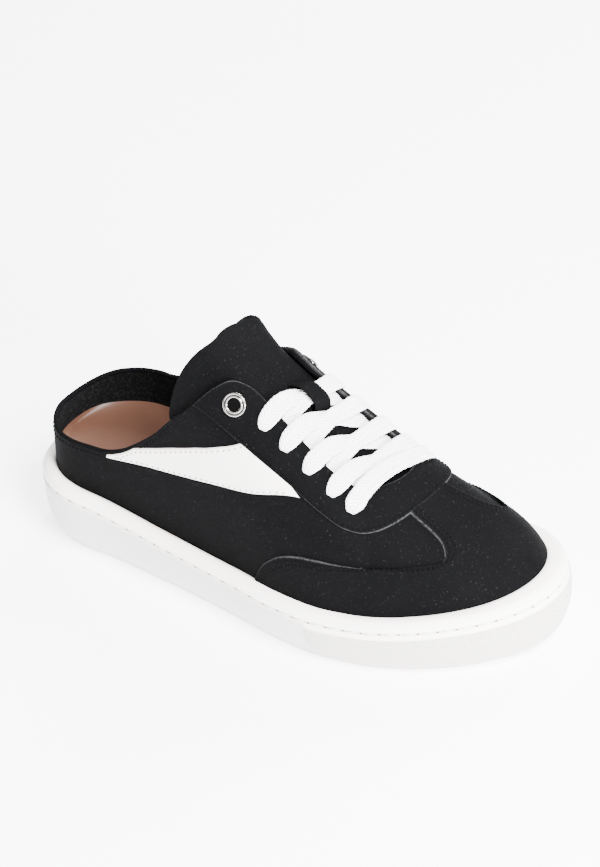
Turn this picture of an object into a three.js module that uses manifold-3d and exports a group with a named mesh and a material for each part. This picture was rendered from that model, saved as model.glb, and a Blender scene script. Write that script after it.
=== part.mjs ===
// Sneaker mule, right shoe. Millimetres, +X toe, +Y medial side, +Z up, origin on the ground under the middle.
import * as THREE from 'three';
import { mergeVertices } from 'three/addons/utils/BufferGeometryUtils.js';
import Module from 'manifold-3d';

const wasm = await Module();
wasm.setup();

// Driving sizes
const length = 268;            // sole, heel to toe
const ballWidth = 97.5;        // sole, across the ball
const soleWall = 30;           // height of the sole's side wall, as its table's unit
const instepHeight = 115;      // ridge of the last above the ground at half length
const rimWidth = 6.8;          // from the sole's outline in to the upper
const upperWall = 2.4;         // upper with its lining
const gap = 0.3;               // between pieces that meet
const overlayThickness = 1.1;  // facing, toe guard and side bands
const throatSkew = 0.016;      // around, how much further forward the throat lies on the medial side
const collarTilt = 0.0145;     // up, how much higher the collar lies on the medial side and lower on the lateral one
const heelRound = 0.15;        // share of the length that the heel's round takes
const toeRound = 0.265;        // share of the length that the toe's round takes
const heelFullness = 2.2;      // superellipse power of the heel's round
const toeSpring = 5;           // rise of the sole's underside at the toe
const springStart = 0.7;       // share of the length where the toe spring starts
const bumperReach = 0.40;      // how far round the bumper runs, toe 0, heel 1
const treadMargin = 9;         // plain border of the underside
const treadDepth = 1.6;
const treadWidth = 2.4;
const treadPitch = 12;
const insoleRaise = 2.5;       // raised edge of the insole
const tongueThickness = 4.2;
const laceHole = 4.4;          // diameter of a punched hole
const eyeletBore = 6;
const eyeletFlange = 11;
const eyeletThickness = 1.1;
const laceWidth = 7.6;
const laceThickness = 1.5;
const keeperWidth = 8.6;
const keeperThickness = 1.3;

// Plan of the sole: share of the length, half width and sideways swing as shares of the ball width
const plan = [
  { at: 0.00, half: 0.385, swing: 0.008 },
  { at: 0.15, half: 0.385, swing: 0.026 },
  { at: 0.33, half: 0.381, swing: -0.022 },
  { at: 0.48, half: 0.412, swing: -0.052 },
  { at: 0.58, half: 0.458, swing: -0.052 },
  { at: 0.66, half: 0.491, swing: -0.030 },
  { at: 0.735, half: 0.500, swing: 0.005 },
  { at: 0.82, half: 0.500, swing: 0.048 },
  { at: 0.89, half: 0.500, swing: 0.080 },
  { at: 0.95, half: 0.500, swing: 0.096 },
  { at: 1.00, half: 0.500, swing: 0.100 },
];

// Sections of the last. floor, rim and bed are shares of the sole wall, ridge of the instep height,
// ridgeAt of the length, ridgeSide of the ball width, inset of the rim width.
const sections = [
  { at: 0.00, floor: 0.90, rim: 1.20, bed: 1.38, ridge: 1.304, ridgeAt: 0.28, ridgeSide: 0.008, full: 2.6, lean: 0.10, inset: 1.00 },
  { at: 0.15, floor: 0.87, rim: 1.10, bed: 1.40, ridge: 1.304, ridgeAt: 0.30, ridgeSide: 0.008, full: 2.7, lean: 0.12, inset: 1.00 },
  { at: 0.30, floor: 0.77, rim: 0.97, bed: 1.38, ridge: 1.278, ridgeAt: 0.36, ridgeSide: 0.008, full: 3.0, lean: 0.14, inset: 1.00 },
  { at: 0.40, floor: 0.68, rim: 0.92, bed: 1.26, ridge: 1.183, ridgeAt: 0.43, ridgeSide: 0.008, full: 3.3, lean: 0.15, inset: 1.00 },
  { at: 0.50, floor: 0.60, rim: 0.90, bed: 1.10, ridge: 1.004, ridgeAt: 0.51, ridgeSide: 0.013, full: 3.5, lean: 0.16, inset: 1.00 },
  { at: 0.60, floor: 0.53, rim: 0.88, bed: 0.95, ridge: 0.830, ridgeAt: 0.60, ridgeSide: 0.023, full: 3.5, lean: 0.14, inset: 1.00 },
  { at: 0.70, floor: 0.50, rim: 0.88, bed: 0.86, ridge: 0.652, ridgeAt: 0.70, ridgeSide: 0.039, full: 3.0, lean: 0.07, inset: 1.00 },
  { at: 0.80, floor: 0.50, rim: 0.93, bed: 0.83, ridge: 0.535, ridgeAt: 0.79, ridgeSide: 0.059, full: 2.6, lean: 0.03, inset: 1.03 },
  { at: 0.90, floor: 0.57, rim: 1.03, bed: 0.86, ridge: 0.465, ridgeAt: 0.86, ridgeSide: 0.080, full: 2.45, lean: 0.00, inset: 1.10 },
  { at: 1.00, floor: 0.67, rim: 1.16, bed: 0.95, ridge: 0.435, ridgeAt: 0.885, ridgeSide: 0.095, full: 2.35, lean: 0.00, inset: 1.18 },
];

// Edges on the last. around is 0 at the toe and 1 at the heel, up is 0 at the floor and 1 at the ridge.
const openingEdge = [
  { around: 0.350, up: 1.000 }, { around: 0.353, up: 0.900 }, { around: 0.362, up: 0.780 },
  { around: 0.380, up: 0.710 }, { around: 0.420, up: 0.690 }, { around: 0.478, up: 0.690 },
  { around: 0.501, up: 0.675 }, { around: 0.518, up: 0.613 }, { around: 0.538, up: 0.510 },
  { around: 0.562, up: 0.420 }, { around: 0.606, up: 0.330 }, { around: 0.633, up: 0.272 },
  { around: 0.680, up: 0.204 }, { around: 0.710, up: 0.180 }, { around: 0.755, up: 0.172 },
  { around: 0.850, up: 0.170 }, { around: 1.000, up: 0.165 },
];
const facingEdge = [
  { around: 0.304, up: 1.000 }, { around: 0.306, up: 0.890 }, { around: 0.311, up: 0.760 },
  { around: 0.330, up: 0.597 }, { around: 0.350, up: 0.527 }, { around: 0.366, up: 0.500 },
  { around: 0.390, up: 0.500 }, { around: 0.432, up: 0.482 }, { around: 0.500, up: 0.450 },
  { around: 0.562, up: 0.420 },
];
const windowLow = [
  { around: 0.234, up: 0.600 }, { around: 0.238, up: 0.545 }, { around: 0.246, up: 0.512 },
  { around: 0.267, up: 0.468 }, { around: 0.329, up: 0.395 }, { around: 0.396, up: 0.303 },
  { around: 0.434, up: 0.237 }, { around: 0.454, up: 0.188 }, { around: 0.471, up: 0.133 },
  { around: 0.490, up: 0.020 },
];
const windowHigh = [
  { around: 0.234, up: 0.610 }, { around: 0.238, up: 0.655 }, { around: 0.250, up: 0.705 },
  { around: 0.269, up: 0.745 }, { around: 0.306, up: 0.790 }, { around: 0.340, up: 0.840 },
];
const stripEnd = 0.322;        // around, where the toe guard's strip ends under the facing
const bandLow = [
  { around: 0.419, up: 0.478 }, { around: 0.476, up: 0.352 }, { around: 0.530, up: 0.270 },
  { around: 0.584, up: 0.216 }, { around: 0.642, up: 0.181 }, { around: 0.704, up: 0.156 },
  { around: 0.768, up: 0.138 },
];
const bandHigh = [
  { around: 0.480, up: 0.520 }, { around: 0.504, up: 0.433 }, { around: 0.534, up: 0.360 },
  { around: 0.566, up: 0.307 }, { around: 0.597, up: 0.269 }, { around: 0.630, up: 0.235 },
  { around: 0.664, up: 0.208 }, { around: 0.700, up: 0.183 }, { around: 0.730, up: 0.174 },
];
const bandEnd = { '-1': 0.708, 1: 0.768 };  // around, rear end on each side: the lateral collar cuts it sooner
const tongueRows = [
  { around: 0.318, bow: 0.000, side: 0.700 }, { around: 0.350, bow: 0.000, side: 0.600 },
  { around: 0.400, bow: 0.000, side: 0.560 }, { around: 0.450, bow: 0.006, side: 0.500 },
  { around: 0.490, bow: 0.020, side: 0.430 }, { around: 0.520, bow: 0.040, side: 0.360 },
  { around: 0.538, bow: 0.056, side: 0.325 }, { around: 0.546, bow: 0.063, side: 0.322 },
  { around: 0.5505, bow: 0.064, side: 0.332 }, { around: 0.552, bow: 0.062, side: 0.350 },
];

// Side wall of the sole from the ground up. Height from the underside (low) or from the rim (high), moved in from the outline.
const wall = [
  { low: 0.0, inset: 5.2, toeInset: 5.2 },
  { low: 1.2, inset: 4.0, toeInset: 4.0 },
  { low: 2.2, inset: 3.5, toeInset: 2.7 },
  { low: 9.0, inset: 1.2, toeInset: 0.4 },
  { low: 15.0, inset: 0.2, toeInset: -0.6 },
  { high: 8.2, inset: 0.1, toeInset: -0.6 },
  { high: 7.6, inset: 0.1, toeInset: 0.2 },
  { high: 6.0, inset: 0.2, toeInset: 0.2 },
  { high: 5.8, inset: 1.2, toeInset: 1.2 },
  { high: 4.6, inset: 1.2, toeInset: 1.2 },
  { high: 4.4, inset: 0.4, toeInset: 0.4 },
  { high: 2.0, inset: 1.0, toeInset: 1.0 },
  { high: 0.5, inset: 2.2, toeInset: 2.2 },
  { high: 0.0, inset: 3.8, toeInset: 3.8 },
];

// Height and place of a lace strap along its way from one side to the other. off is above the last,
// half is the strap's half width as a share of the full one.
const strapUnder = [
  { way: 0.00, off: -1.45, half: 1 }, { way: 0.20, off: -1.45, half: 0.82 }, { way: 0.50, off: -1.45, half: 0.82 },
  { way: 0.62, off: 0.30, half: 1 }, { way: 0.74, off: 1.40, half: 1 }, { way: 0.82, off: 2.80, half: 0.9 },
  { way: 0.96, off: 2.80, half: 0.9 }, { way: 0.99, off: 2.45, half: 0.4 }, { way: 1.00, off: -1.20, half: 0.26 },
];
const strapOver = [
  { way: 0.00, off: -1.45, half: 1 }, { way: 0.24, off: -1.20, half: 0.82 }, { way: 0.34, off: -0.10, half: 0.82 },
  { way: 0.50, off: -0.05, half: 0.82 }, { way: 0.62, off: 0.40, half: 1 }, { way: 0.74, off: 1.40, half: 1 },
  { way: 0.82, off: 2.80, half: 0.9 }, { way: 0.96, off: 2.80, half: 0.9 }, { way: 0.99, off: 2.45, half: 0.4 },
  { way: 1.00, off: -1.20, half: 0.26 },
];
const barRows = [
  { way: -1.00, off: -1.20, half: 0.26 }, { way: -0.99, off: 2.45, half: 0.4 }, { way: -0.94, off: 2.80, half: 0.84 },
  { way: -0.70, off: 2.80, half: 0.84 }, { way: -0.45, off: 2.80, half: 0.84 }, { way: 0.00, off: 2.80, half: 0.9 },
  { way: 0.45, off: 2.80, half: 0.84 }, { way: 0.70, off: 2.80, half: 0.84 }, { way: 0.94, off: 2.80, half: 0.84 },
  { way: 0.99, off: 2.45, half: 0.4 }, { way: 1.00, off: -1.20, half: 0.26 },
];
const keeperRows = [
  { around: 0.4456, off: -1.60 }, { around: 0.4480, off: -1.60 }, { around: 0.4504, off: 0.60 }, { around: 0.4534, off: 2.60 },
  { around: 0.4724, off: 2.60 }, { around: 0.4754, off: 0.60 }, { around: 0.4778, off: -1.60 }, { around: 0.4810, off: -1.60 },
];

// Holes on the facing, lower five punched and laced, the top one with a ring
const laceHoles = [
  { around: 0.366, up: 0.590 }, { around: 0.391, up: 0.588 }, { around: 0.420, up: 0.580 },
  { around: 0.448, up: 0.574 }, { around: 0.475, up: 0.568 },
];
const eyeletPlace = { around: 0.510, up: 0.545 };
const startSetback = 0.008;    // around, start of a crossing behind its hole
const strapShare = 0.01;       // around, about half a strap's width
const flatness = 0.03;         // how far a surface may move when small facets are merged
const sides = { lateral: -1, medial: 1 };

// Smooth curve through one column of a table
function smooth(rows, key, name) {
  const x = rows.map((row) => row[key]);
  const y = rows.map((row) => row[name]);
  const rise = x.slice(1).map((value, i) => (y[i + 1] - y[i]) / (value - x[i]));
  const slope = x.map((value, i) => {
    if (i === 0) return rise[0];
    if (i === x.length - 1) return rise[i - 1];
    const before = x[i] - x[i - 1];
    const after = x[i + 1] - x[i];
    return (rise[i - 1] * after + rise[i] * before) / (before + after);
  });
  return (value) => {
    let i = 0;
    while (i < x.length - 2 && value >= x[i + 1]) i += 1;
    const width = x[i + 1] - x[i];
    const u = (value - x[i]) / width;
    const start = (2 * u ** 3 - 3 * u ** 2 + 1) * y[i] + (u ** 3 - 2 * u ** 2 + u) * width * slope[i];
    const end = (3 * u ** 2 - 2 * u ** 3) * y[i + 1] + (u ** 3 - u ** 2) * width * slope[i + 1];
    return start + end;
  };
}

// Straight steps through one column of an edge table
function edge(rows) {
  return (around) => {
    let i = 0;
    while (i < rows.length - 2 && around > rows[i + 1].around) i += 1;
    const share = (around - rows[i].around) / (rows[i + 1].around - rows[i].around);
    return THREE.MathUtils.lerp(rows[i].up, rows[i + 1].up, THREE.MathUtils.clamp(share, 0, 1));
  };
}

const planHalf = smooth(plan, 'at', 'half');
const planSwing = smooth(plan, 'at', 'swing');
const floorAt = smooth(sections, 'at', 'floor');
const rimAt = smooth(sections, 'at', 'rim');
const bedAt = smooth(sections, 'at', 'bed');
const ridgeHeight = smooth(sections, 'at', 'ridge');
const ridgeAlong = smooth(sections, 'at', 'ridgeAt');
const ridgeSide = smooth(sections, 'at', 'ridgeSide');
const fullness = smooth(sections, 'at', 'full');
const leaning = smooth(sections, 'at', 'lean');
const insetAt = smooth(sections, 'at', 'inset');

const shareAt = (around) => (1 + Math.cos(Math.PI * around)) / 2;
const rimHeight = (at) => soleWall * rimAt(at);
const floorHeight = (at) => soleWall * floorAt(at);
const bedHeight = (at) => soleWall * bedAt(at);

function underside(at) {
  const run = Math.max(0, (at - springStart) / (1 - springStart));
  return toeSpring * run ** 2;
}

// How far the outline has come out of its rounded ends, 0 to 1
function rounding(at) {
  if (at < heelRound) return (1 - (1 - at / heelRound) ** heelFullness) ** (1 / heelFullness);
  if (at > 1 - toeRound) return Math.sqrt(Math.max(0, 1 - ((at - 1 + toeRound) / toeRound) ** 2));
  return 1;
}

function planPoint(around) {
  const at = shareAt(around);
  const half = planHalf(at) * ballWidth * rounding(at);
  return new THREE.Vector2((at - 0.5) * length, planSwing(at) * ballWidth + Math.sign(around) * half);
}

// Outline of the sole, moved in by a distance
function outline(around, inset) {
  const step = 1e-3;
  const ahead = planPoint(Math.min(around + step, 1));
  const behind = planPoint(Math.max(around - step, -1));
  const along = ahead.sub(behind).normalize();
  return planPoint(around).add(new THREE.Vector2(-along.y, along.x).multiplyScalar(inset));
}

// The throat's lines lie further forward on the medial side, and the collar's lines higher
function skewed(around, up) {
  const ease = THREE.MathUtils.smoothstep;
  const span = Math.abs(around);
  const across = Math.sign(around) * (1 - up);
  const throat = ease(span, 0.30, 0.42) * (1 - ease(span, 0.52, 0.60));
  const forward = throat * ease(across, -0.25, 0.35) * (1 - ease(across, 0.72, 0.85));
  const collar = ease(span, 0.55, 0.63) * (1 - ease(span, 0.84, 0.97));
  const higher = collar * ease(up, 0, 0.12) * (1 - ease(up, 0.36, 0.48));
  return [around - Math.sign(around) * throatSkew * forward, up + Math.sign(around) * collarTilt * higher];
}

// Point on the last: a superellipse from the floor's edge up to the ridge, tilted with the ridge's slope
function lastPoint(place, level) {
  const [around, up] = skewed(place, level);
  const at = shareAt(around);
  const foot = outline(around, rimWidth * insetAt(at));
  const ridgeX = (share) => (ridgeAlong(share) - 0.5) * length;
  const before = Math.max(0, at - 0.004);
  const after = Math.min(1, at + 0.004);
  const rise = instepHeight * (ridgeHeight(after) - ridgeHeight(before)) / (ridgeX(after) - ridgeX(before));
  const angle = up * Math.PI / 2;
  const power = fullness(at);
  const radius = (Math.abs(Math.cos(angle)) ** power + Math.sin(angle) ** power) ** (-1 / power);
  const high = radius * Math.sin(angle);
  const out = up >= 1 ? 0 : radius * Math.cos(angle) * (1 - leaning(at) * high);
  const dx = (foot.x - ridgeX(at)) * out;
  const dy = (foot.y - ridgeSide(at) * ballWidth) * out;
  const height = floorHeight(at) + (instepHeight * ridgeHeight(at) - floorHeight(at)) * high;
  return new THREE.Vector3(ridgeX(at) + dx, ridgeSide(at) * ballWidth + dy, height + rise * dx * high ** 2);
}

// The place that skewed() brings to the one asked for
function straightened(around, up) {
  const [movedAround, movedUp] = skewed(around, up);
  return [2 * around - movedAround, 2 * up - movedUp];
}

function lastNormal(around, height) {
  const step = 2e-3;
  const up = Math.min(height, 1 - step);
  const a0 = lastPoint(Math.max(around - step, -1), up);
  const a1 = lastPoint(Math.min(around + step, 1), up);
  const u0 = lastPoint(around, Math.max(up - step, 0));
  const u1 = lastPoint(around, Math.min(up + step, 1));
  return a1.sub(a0).cross(u1.sub(u0)).normalize();
}

// Point at a distance outside the last. On the ridge both sides share one point.
function offLast(around, up, distance) {
  const normal = lastNormal(around, up);
  if (up >= 1) normal.add(lastNormal(-around, up)).normalize();
  return lastPoint(around, up).addScaledVector(normal, distance);
}

// Closed body from rings with the same number of points, zipped shut at both ends.
// fold is 1 for a ring that starts on the centre line and 0 for a ring of two facing rows.
function bodyFromRings(rings, fold) {
  const count = rings[0].length;
  const positions = [];
  const corner = (point) => positions.push(point.x, point.y, point.z);
  const quad = (a, b, c, d) => [a, b, c, a, c, d].forEach(corner);
  for (let i = 0; i < rings.length - 1; i += 1) {
    for (let k = 0; k < count; k += 1) {
      const next = (k + 1) % count;
      quad(rings[i][k], rings[i][next], rings[i + 1][next], rings[i + 1][k]);
    }
  }
  const mate = (k) => (count - 1 + fold - k) % count;
  const zip = (ring, flip) => {
    for (let k = 0; k < Math.floor(count / 2) - 1 + fold; k += 1) {
      const row = [ring[k], ring[mate(k)], ring[mate(k + 1)], ring[k + 1]];
      quad(...(flip ? row : row.reverse()));
    }
  };
  zip(rings[0], true);
  zip(rings[rings.length - 1], false);
  return manifoldOf(new THREE.BufferGeometry().setAttribute('position', new THREE.Float32BufferAttribute(positions, 3)));
}

// Closed mesh to solid: shared corners merged, flat triangles dropped, faces turned outwards
function manifoldOf(source) {
  const bare = source.index ? source.toNonIndexed() : source.clone();
  bare.deleteAttribute('normal');
  bare.deleteAttribute('uv');
  const merged = mergeVertices(bare, 1e-4);
  const all = merged.index.array;
  const triangles = [];
  for (let i = 0; i < all.length; i += 3) {
    const [a, b, c] = [all[i], all[i + 1], all[i + 2]];
    if (a !== b && b !== c && c !== a) triangles.push(a, b, c);
  }
  const corner = (i) => new THREE.Vector3().fromBufferAttribute(merged.attributes.position, triangles[i]);
  let volume = 0;
  for (let i = 0; i < triangles.length; i += 3) volume += corner(i).dot(corner(i + 1).cross(corner(i + 2)));
  const mesh = new wasm.Mesh({
    numProp: 3,
    vertProperties: new Float32Array(merged.attributes.position.array),
    triVerts: new Uint32Array(volume < 0 ? triangles.reverse() : triangles),
  });
  return new wasm.Manifold(mesh);
}

function meshOf(solid, name, material) {
  const { vertProperties, triVerts } = solid.simplify(flatness).getMesh();
  const geometry = new THREE.BufferGeometry();
  geometry.setAttribute('position', new THREE.BufferAttribute(vertProperties, 3));
  geometry.setIndex(new THREE.BufferAttribute(triVerts, 1));
  geometry.computeVertexNormals();
  const mesh = new THREE.Mesh(geometry, material);
  mesh.name = name;
  return mesh;
}

const aroundSteps = 52;
const upRows = [0, 0.12, 0.22, 0.31, 0.4, 0.48, 0.56, 0.64, 0.73, 0.86, 1];
const rounds = Array.from({ length: aroundSteps }, (value, i) => -1 + 2 * i / aroundSteps);

// The last grown or shrunk by a distance, its underside lowered by a drop
function grownLast(distance, drop) {
  const rings = upRows.map((up) => rounds.map((around) => offLast(around, up, distance)));
  const base = rings[0].map((point) => new THREE.Vector3(point.x, point.y, point.z - drop));
  return bodyFromRings([base, ...rings], 1);
}

const skin = (outside, inside) => grownLast(outside, 0).subtract(grownLast(inside, 12));

// Cutter over the last's back: what lies above a row of arches. bow bends an arch back at its sides.
const reach = 9;
function arches(rows) {
  const across = 8;
  const rings = rows.map(({ around, bow, side }) => {
    const row = (offset) => Array.from({ length: 2 * across + 1 }, (value, k) => {
      const share = (k - across) / across;
      const place = around + bow * Math.abs(share) ** 4.5;
      return offLast(share < 0 ? -place : place, 1 - Math.abs(share) * (1 - side), offset);
    });
    return [...row(-reach).reverse(), ...row(reach)];
  });
  return bodyFromRings(rings, 0);
}

// Stops along the around direction: both ends and the rows of the tables between them
function stops(tables, from, to) {
  const inner = tables.flat().map((row) => row.around).filter((around) => around > from + 0.004 && around < to - 0.004);
  const sorted = [...inner].sort((left, right) => left - right);
  return [from, ...sorted.filter((around, i) => i === 0 || around - sorted[i - 1] > 0.003), to];
}

function saddle(table, from, to, lower = 0) {
  const up = edge(table);
  return arches(stops([table], from, to).map((around) => ({ around, bow: 0, side: up(around) - lower })));
}

// Cutter on one side, between a lower and an upper edge
function patch(side, lowTable, highTable, from, to) {
  const across = 5;
  const low = edge(lowTable);
  const high = edge(highTable);
  const rings = stops([lowTable, highTable], from, to).map((around) => {
    const row = (offset) => Array.from({ length: across + 1 }, (value, k) => {
      const up = THREE.MathUtils.lerp(low(around), Math.max(high(around), low(around) + 1e-3), k / across);
      return offLast(...straightened(side * around, up), offset);
    });
    return [...row(-reach).reverse(), ...row(reach)];
  });
  return bodyFromRings(rings, 0);
}

function box(x0, x1, y0, y1, z0, z1) {
  const source = new THREE.BoxGeometry(x1 - x0, y1 - y0, z1 - z0);
  return manifoldOf(source.translate((x0 + x1) / 2, (y0 + y1) / 2, (z0 + z1) / 2));
}

// Turns a body made along +Z so that it stands on the last at a place, along the normal there
function onLast(source, side, place) {
  const normal = lastNormal(side * place.around, place.up);
  const turn = new THREE.Quaternion().setFromUnitVectors(new THREE.Vector3(0, 0, 1), normal);
  const spot = lastPoint(side * place.around, place.up);
  return manifoldOf(source.applyQuaternion(turn).translate(spot.x, spot.y, spot.z));
}

function holeCutter(side, place, diameter, corners) {
  return onLast(new THREE.CylinderGeometry(diameter / 2, diameter / 2, 14, corners).rotateX(Math.PI / 2), side, place);
}

// Openings
const opening = edge(openingEdge);
const collarBack = lastPoint(1, opening(1)).z;
const openingCutter = saddle(openingEdge, 0.35, 0.95)
  .add(box(-length / 2, -length * 0.2, -ballWidth * 0.11, ballWidth * 0.13, collarBack, collarBack + 110));
const holeCutters = [-1, 1].flatMap((side) => [
  ...laceHoles.map((place) => holeCutter(side, place, laceHole, 6)),
  holeCutter(side, eyeletPlace, eyeletBore + 1.8, 10),
]);
const cutAll = (solid, cutters) => cutters.reduce((left, cutter) => left.subtract(cutter), solid);

// Sole
function soleBody() {
  const level = (row, around) => {
    const at = shareAt(around);
    const height = row.low === undefined ? rimHeight(at) - row.high : underside(at) + row.low;
    const inset = Math.abs(around) < bumperReach ? row.toeInset : row.inset;
    const spot = outline(around, inset);
    return new THREE.Vector3(spot.x, spot.y, height);
  };
  const body = bodyFromRings(wall.map((row) => rounds.map((around) => level(row, around))), 1);
  const field = bodyFromRings([-4, treadDepth].map((lift) => rounds.map((around) => {
    const spot = outline(around, treadMargin);
    const at = shareAt(around);
    return new THREE.Vector3(spot.x, spot.y, lift < 0 ? lift : underside(at) + lift);
  })), 1);
  let slots = box(-length, -length + 1, -1, 1, 0, 1);
  for (let x = -length * 0.45; x < length * 0.46; x += treadPitch) {
    const waist = x > -length * 0.15 && x < 0;
    if (!waist) slots = slots.add(box(x, x + treadWidth, -ballWidth, ballWidth, -6, 20));
  }
  return body.subtract(grownLast(gap, gap)).subtract(field.intersect(slots));
}

// Everything below the sole's rim, to trim the overlays by
function belowRim() {
  return bodyFromRings([-20, 0].map((lift) => rounds.map((around) => {
    const spot = outline(around, wall.at(-1).inset);
    return new THREE.Vector3(spot.x, spot.y, lift < 0 ? lift : rimHeight(shareAt(around)) + gap);
  })), 1);
}

// Insole: fills the upper's foot up to the footbed, higher along its edge
function footbed() {
  const steps = 22;
  const across = 8;
  const rings = Array.from({ length: steps + 1 }, (value, i) => {
    const at = THREE.MathUtils.lerp(-0.01, 1.01, i / steps);
    const near = THREE.MathUtils.clamp(at, 0, 1);
    const x = (at - 0.5) * length;
    const middle = planSwing(near) * ballWidth;
    const row = Array.from({ length: across + 1 }, (none, k) => {
      const share = -1 + 2 * k / across;
      const raise = insoleRaise * Math.abs(share) ** 3;
      return new THREE.Vector3(x, middle + share * ballWidth * 0.5, bedHeight(near) + raise);
    });
    const under = row.map((point) => new THREE.Vector3(point.x, point.y, -5)).reverse();
    return [...row, ...under];
  });
  return bodyFromRings(rings, 0);
}

// Lace: a flat strap swept over the last. Rows give signed way (share of the distance to the hole), height and width.
function strapBody(rows, placeAt) {
  const spots = rows.map(({ way, off }) => placeAt(way, off));
  const rings = rows.map(({ half }, i) => {
    const ahead = spots[Math.min(i + 1, rows.length - 1)].point.clone();
    const along = ahead.sub(spots[Math.max(i - 1, 0)].point).normalize();
    const across = spots[i].normal.clone().cross(along).normalize();
    const out = along.clone().cross(across).normalize();
    const corner = (wide, thick) => spots[i].point.clone()
      .addScaledVector(across, wide * half * laceWidth / 2).addScaledVector(out, thick * laceThickness / 2);
    return [corner(-1, 1), corner(1, 1), corner(1, -1), corner(-1, -1)];
  });
  return bodyFromRings(rings, 0);
}

function overThroat(around, signedUp, off) {
  const up = 1 - Math.abs(signedUp);
  const place = signedUp < 0 ? -around : around;
  const normal = lastNormal(place, up);
  if (up > 0.98) normal.add(lastNormal(-place, up)).normalize();
  return { point: lastPoint(place, up).addScaledVector(normal, off), normal };
}

// Crossing from below one side's edge to the hole of the next row on the other side
function crossing(rows, side, from, to) {
  const begin = from.around + startSetback;
  const far = 1 - opening(laceHoles[2].around) - 0.065;
  const near = 1 - opening(begin - strapShare) - 0.065;
  const end = 1 - to.up;
  const startWay = (far - near) / (far + end);
  const kept = rows.filter(({ way }) => way > startWay + 0.02);
  return strapBody([{ ...rows[0], way: startWay }, ...kept], (way, off) => overThroat(
    THREE.MathUtils.lerp(begin, to.around, way),
    side * THREE.MathUtils.lerp(-far, end, way),
    off,
  ));
}

// Facing and overlays
const clear = 0.012;           // share of up that an overlay keeps from the one over it
const overlay = skin(gap + overlayThickness, gap);
const trim = belowRim();
const facingClear = saddle(facingEdge, 0.300, 0.575, clear);
const openingClear = saddle(openingEdge, 0.349, 0.9, clear);
const facingBody = cutAll(overlay.intersect(saddle(facingEdge, 0.304, 0.5625)).subtract(openingClear), holeCutters);

const toeZone = box(shareAt(0.49) * length - length / 2, length, -ballWidth, ballWidth, 0, instepHeight);
const toeGuardBody = cutAll(overlay.intersect(toeZone), [
  patch(-1, windowLow, windowHigh, 0.234, 0.336), patch(1, windowLow, windowHigh, 0.234, 0.336),
  saddle(windowLow, stripEnd, 0.52), facingClear, trim,
]);

function sideBand(side) {
  const zone = patch(side, bandLow, bandHigh, 0.42, bandEnd[side]);
  return cutAll(overlay.intersect(zone), [openingClear, facingClear, trim]);
}

const upperBody = cutAll(grownLast(0, 0).subtract(grownLast(-upperWall, 12)), [openingCutter, ...holeCutters]);
const insoleBody = grownLast(-upperWall - gap, 0).intersect(footbed());
const tongueBody = grownLast(-upperWall - gap, 0)
  .subtract(grownLast(-upperWall - gap - tongueThickness, 12)).intersect(arches(tongueRows));

function eyelet(side) {
  const bore = eyeletBore / 2;
  const flange = eyeletFlange / 2;
  const neck = bore + 0.5;
  const low = overlayThickness + 2 * gap;
  const profile = [
    [bore, -upperWall], [neck, -upperWall], [neck, low], [flange - 0.4, low], [flange, low + 0.4],
    [flange - 0.7, low + eyeletThickness], [bore + 0.9, low + eyeletThickness], [bore, low + 0.5], [bore, -upperWall],
  ].map(([radius, height]) => new THREE.Vector2(radius, height));
  return onLast(new THREE.LatheGeometry(profile, 16).rotateX(Math.PI / 2), side, eyeletPlace);
}

function keeper() {
  const spots = keeperRows.map(({ around, off }) => overThroat(around, 0, off).point);
  const rings = spots.map((spot, i) => {
    const along = spots[Math.min(i + 1, spots.length - 1)].clone().sub(spots[Math.max(i - 1, 0)]).normalize();
    const { around, off } = keeperRows[i];
    const across = overThroat(around, 0.06, off).point.sub(overThroat(around, -0.06, off).point).normalize();
    const out = along.clone().cross(across).normalize();
    const corner = (wide, thick) => spot.clone().addScaledVector(out, thick * keeperThickness / 2)
      .addScaledVector(across, wide * keeperWidth / 2);
    return [corner(-1, 1), corner(1, 1), corner(1, -1), corner(-1, -1)];
  });
  return bodyFromRings(rings, 0);
}

const colour = (hex, roughness, metalness = 0) => new THREE.MeshStandardMaterial({ color: hex, roughness, metalness });
const rubber = colour(0xe9e4de, 0.6);
const nubuck = colour(0x242426, 0.9);
const cushion = colour(0xb0785f, 0.8);
const leather = colour(0xf0ece8, 0.45);
const cotton = colour(0xf6f6f4, 0.9);
const nickel = colour(0xc8c8c8, 0.25, 1);

const group = new THREE.Group();
group.name = 'sneaker_mule';
group.add(
  meshOf(soleBody(), 'sole', rubber),
  meshOf(upperBody, 'upper', nubuck),
  meshOf(insoleBody, 'insole', cushion),
  meshOf(tongueBody, 'tongue', nubuck),
  meshOf(facingBody, 'facing', nubuck),
  meshOf(toeGuardBody, 'toe_guard', nubuck),
);
Object.entries(sides).forEach(([name, side]) => {
  group.add(meshOf(sideBand(side), `side_band_${name}`, leather));
  group.add(meshOf(eyelet(side), `eyelet_${name}`, nickel));
});
group.add(meshOf(keeper(), 'lace_keeper', nubuck));
const barPlace = laceHoles[0];
group.add(meshOf(strapBody(barRows, (way, off) => overThroat(barPlace.around, way * (1 - barPlace.up), off)), 'lace_bar', cotton));
laceHoles.slice(1).forEach((to, i) => {
  const from = laceHoles[i];
  const under = crossing(strapUnder, sides.lateral, from, to);
  const over = crossing(strapOver, sides.medial, from, to);
  group.add(meshOf(under.add(over), `lace_crossing_${i + 1}`, cotton));
});

export default group;
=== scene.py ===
# Sneaker mule, right shoe. Sizes are millimetres until a mesh is made; +X toe, +Y medial side, +Z up.
import math

import bmesh
import bpy
import numpy as np
from mathutils import Matrix, Vector


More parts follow.
